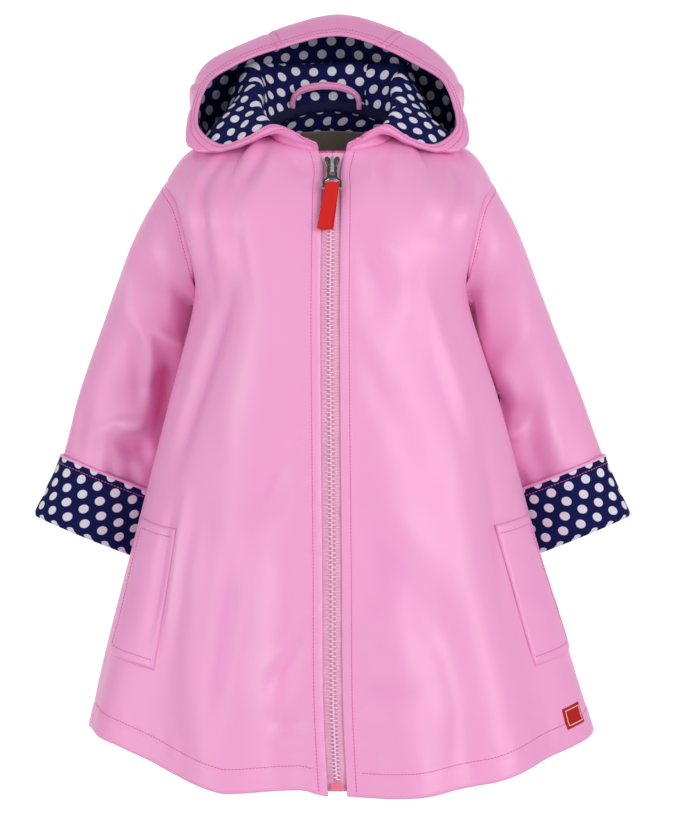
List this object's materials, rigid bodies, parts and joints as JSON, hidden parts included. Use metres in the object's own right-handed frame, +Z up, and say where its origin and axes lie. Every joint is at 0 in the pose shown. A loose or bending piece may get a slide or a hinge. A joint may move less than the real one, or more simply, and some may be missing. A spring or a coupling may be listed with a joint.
{
  "type": "toddler raincoat",
  "caption": "Hooded A-line raincoat for a toddler, open at neck, hem and cuffs, with a front zip, turned-back dotted cuffs, pocket welts and the hood lying back.",
  "frame": {"origin": "base of the neck, level with the shoulder seams' neck ends, where the wearer holds the coat up", "axes": "+X to the wearer's left, +Y to the back, +Z up"},
  "size_m": [0.4558, 0.2253, 0.5828],
  "materials": {
    "coated_cloth": "satin",
    "binding": "satin",
    "dotted_lining": "matte",
    "neck_label": "matte",
    "hem_label": "matte",
    "zip_tape": "matte",
    "zip_teeth": "glossy",
    "zip_box": "glossy",
    "plated_metal": "polished",
    "pull_ribbon": "satin"
  },
  "bodies": {
    "coat": {"back": "coated_cloth", "cuff_left": "dotted_lining", "cuff_right": "dotted_lining", "front_left": "coated_cloth", "front_right": "coated_cloth", "hanger_loop": "binding", "hem_label": "hem_label", "hood_centre": "coated_cloth", "hood_lining_centre": "dotted_lining", "hood_lining_left": "dotted_lining", "hood_lining_right": "dotted_lining", "hood_side_left": "coated_cloth", "hood_side_right": "coated_cloth", "neck_facing": "dotted_lining", "neck_label": "neck_label", "pocket_welt_left": "coated_cloth", "pocket_welt_right": "coated_cloth", "sleeve_left": "coated_cloth", "sleeve_right": "coated_cloth", "slider_bridge": "plated_metal", "zip_box": "zip_box", "zip_chain": "zip_teeth", "zip_slider": "plated_metal", "zip_tape_left": "zip_tape", "zip_tape_right": "zip_tape"},
    "zip_pull": {"pull_ring": "plated_metal", "pull_ribbon": "pull_ribbon"}
  },
  "joints": [
    {"name": "pull_hinge", "type": "hinge", "parent": "coat", "child": "zip_pull", "pos_m": [0, -0.06446, -0.03515], "axis": [-1, 0, 0], "range_deg": [0, 150]}
  ]
}
